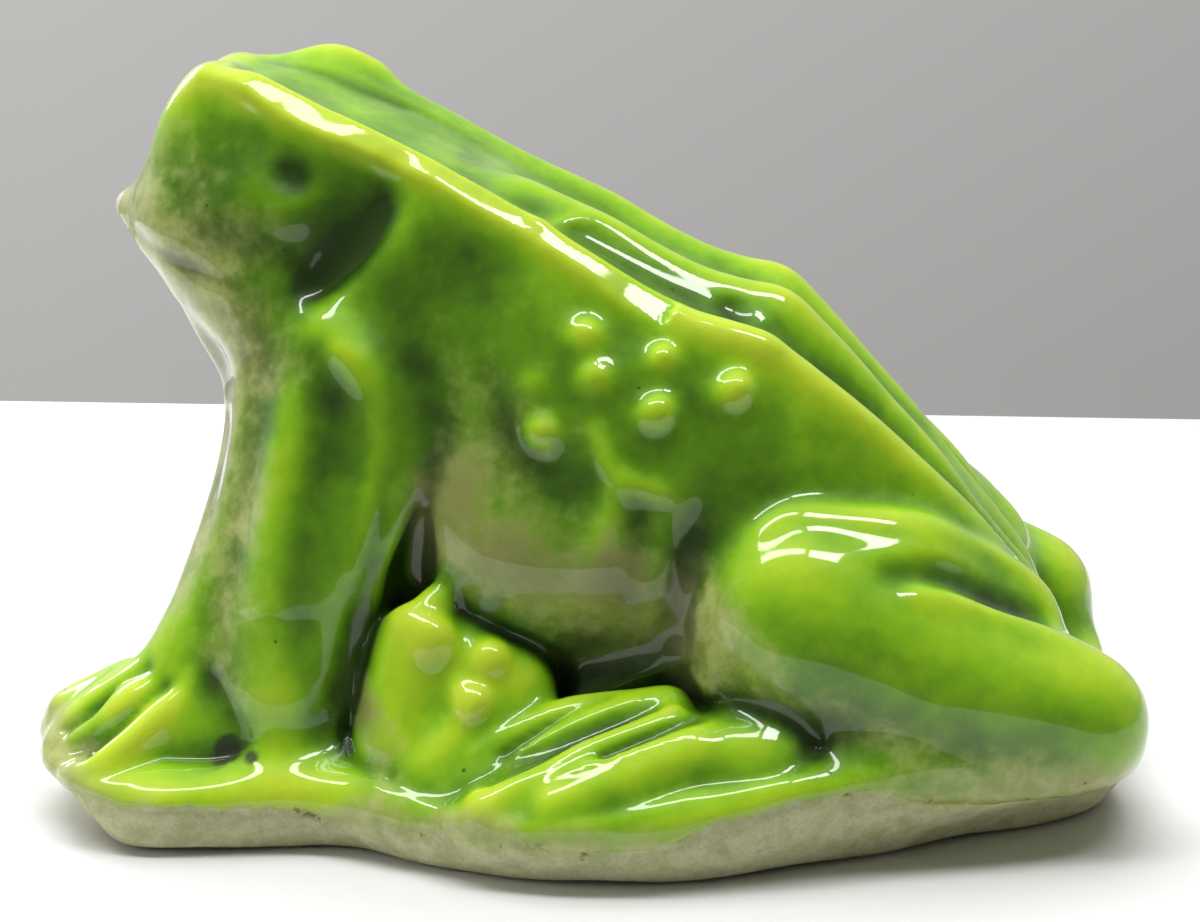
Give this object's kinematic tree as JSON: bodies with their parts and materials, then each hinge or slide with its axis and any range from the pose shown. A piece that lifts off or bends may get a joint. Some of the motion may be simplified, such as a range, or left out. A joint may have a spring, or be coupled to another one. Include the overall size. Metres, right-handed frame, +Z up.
{
  "type": "porcelain frog figurine",
  "caption": "Miniature glazed porcelain frog sitting upright on a low lobed plinth, with a ridged back, warty flanks and a warty stone behind each foreleg.",
  "frame": {"origin": "on the resting face, under the middle of the whole piece", "axes": "+Z up; -X the way the frog looks; -Y the frog's left side"},
  "size_m": [0.0325, 0.0224, 0.0216],
  "materials": {
    "green_glaze": "glossy translucent yellow-green glaze",
    "bare_porcelain": "unglazed, matt, with a thin stain of glaze"
  },
  "bodies": {
    "root": {"foot_ring": "bare_porcelain", "plinth": "bare_porcelain", "ground": "green_glaze", "head": "green_glaze", "torso": "green_glaze", "left_foreleg": "green_glaze", "right_foreleg": "green_glaze", "left_forefoot": "green_glaze", "right_forefoot": "green_glaze", "left_thigh": "green_glaze", "right_thigh": "green_glaze", "left_shin": "green_glaze", "right_shin": "green_glaze", "left_hind_foot": "green_glaze", "right_hind_foot": "green_glaze", "left_stone": "green_glaze", "right_stone": "green_glaze", "left_flank_warts": "green_glaze", "right_flank_warts": "green_glaze", "left_stone_warts": "green_glaze", "right_stone_warts": "green_glaze"}
  },
  "joints": []
}
